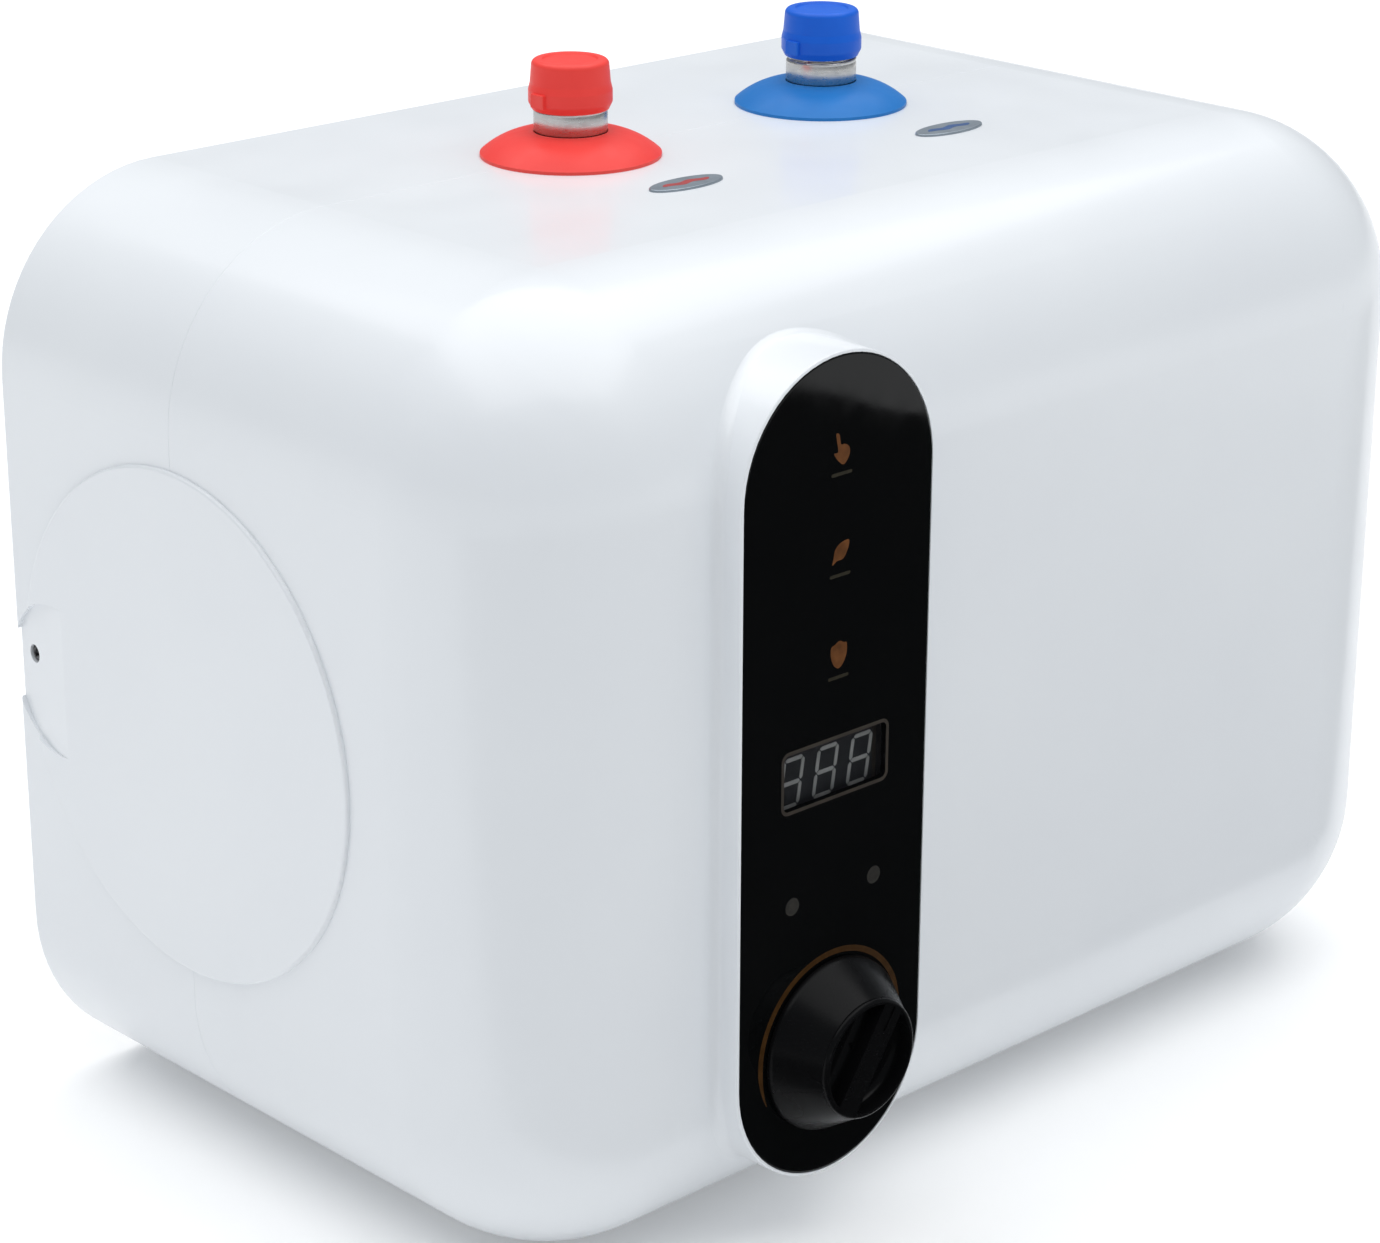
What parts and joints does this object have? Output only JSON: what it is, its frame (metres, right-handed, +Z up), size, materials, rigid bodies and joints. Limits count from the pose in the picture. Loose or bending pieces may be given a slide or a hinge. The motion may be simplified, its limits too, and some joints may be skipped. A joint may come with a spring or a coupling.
{
  "type": "tank water heater",
  "caption": "Small wall-hung tank water heater: rounded white casing, black glass control panel with a rotary knob, and capped red and blue water connections on top.",
  "frame": {"origin": "middle of the casing's flat underside", "axes": "+Z up, +Y towards the wall it hangs on (the controls face -Y), +X along the width, away from the control panel"},
  "size_m": [0.3782, 0.2403, 0.2986],
  "materials": {
    "shell_white": "glossy white moulding, faintly cool",
    "panel_glass": "gloss black back-printed glass",
    "knob_black": "satin-gloss black",
    "carrier_black": "fine matt black moulding",
    "display_face": "dark filter face with grey segments",
    "lamp_clear": "diffused lamp resin",
    "board_green": "green solder mask",
    "tape_black": "foam adhesive tape",
    "red_plastic": "gloss red",
    "blue_plastic": "gloss blue",
    "pipe_steel": "turned stainless thread",
    "badge_metal": "brushed oval plate with a coloured stripe",
    "tube_white": "translucent white",
    "galvanised": "galvanised sheet with a faint spangle",
    "zinc_steel": "bright zinc plate",
    "tank_steel": "satin stainless with weld tint",
    "element_metal": "annealed sheath",
    "brass": "turned brass",
    "anode_metal": "dull cast light alloy",
    "gasket_rubber": "black rubber",
    "cutout_body": "pale ceramic body",
    "part_blue": "moulded case",
    "coil_iron": "varnished laminations",
    "foam": "moulded insulating foam"
  },
  "bodies": {
    "casing": {"front_shell": "shell_white", "rear_shell": "shell_white", "left_cover": "shell_white", "right_cover": "shell_white", "control_glass": "panel_glass", "display_carrier": "carrier_black", "rotary_control": "carrier_black", "mains_terminals": "carrier_black", "digit_display": "display_face", "status_lamps": "lamp_clear", "mode_lights": "lamp_clear", "control_board": "board_green", "glass_tape": "tape_black", "hot_collar": "red_plastic", "cold_collar": "blue_plastic", "hot_nipple": "pipe_steel", "cold_nipple": "pipe_steel", "hot_badge": "badge_metal", "cold_badge": "badge_metal", "dip_tube": "tube_white", "back_plate": "galvanised", "tank_brackets": "galvanised", "terminal_bracket": "galvanised", "plate_bolts": "zinc_steel", "plate_nuts": "zinc_steel", "side_screws": "zinc_steel", "carrier_screws": "zinc_steel", "board_screws": "zinc_steel", "flange_bolts": "zinc_steel", "earth_stud": "zinc_steel", "tank_wrapper": "tank_steel", "tank_left_end": "tank_steel", "tank_right_end": "tank_steel", "port_neck": "tank_steel", "element_flange": "tank_steel", "sensor_well": "tank_steel", "heating_element": "element_metal", "element_pins": "brass", "anode_plug": "brass", "anode_rod": "anode_metal", "element_gasket": "gasket_rubber", "cord_bushing": "gasket_rubber", "thermal_cutout": "cutout_body", "temperature_probe": "cutout_body", "power_relay": "part_blue", "filter_capacitor": "part_blue", "transformer": "coil_iron", "front_foam": "foam", "rear_foam": "foam"},
    "knob": {"knob": "knob_black", "knob_shaft": "zinc_steel"},
    "hot_cap": {"hot_cap": "red_plastic"},
    "cold_cap": {"cold_cap": "blue_plastic"}
  },
  "joints": [
    {"name": "knob_turn", "type": "hinge", "parent": "casing", "child": "knob", "pos_m": [-0.085, -0.1168, 0.0593], "axis": [0, -1, 0], "range_deg": [-116, 184]},
    {"name": "hot_cap_lift", "type": "slide", "parent": "casing", "child": "hot_cap", "axis": [0, 0, 1], "range_m": [0, 0.035]},
    {"name": "cold_cap_lift", "type": "slide", "parent": "casing", "child": "cold_cap", "axis": [0, 0, 1], "range_m": [0, 0.035]}
  ]
}
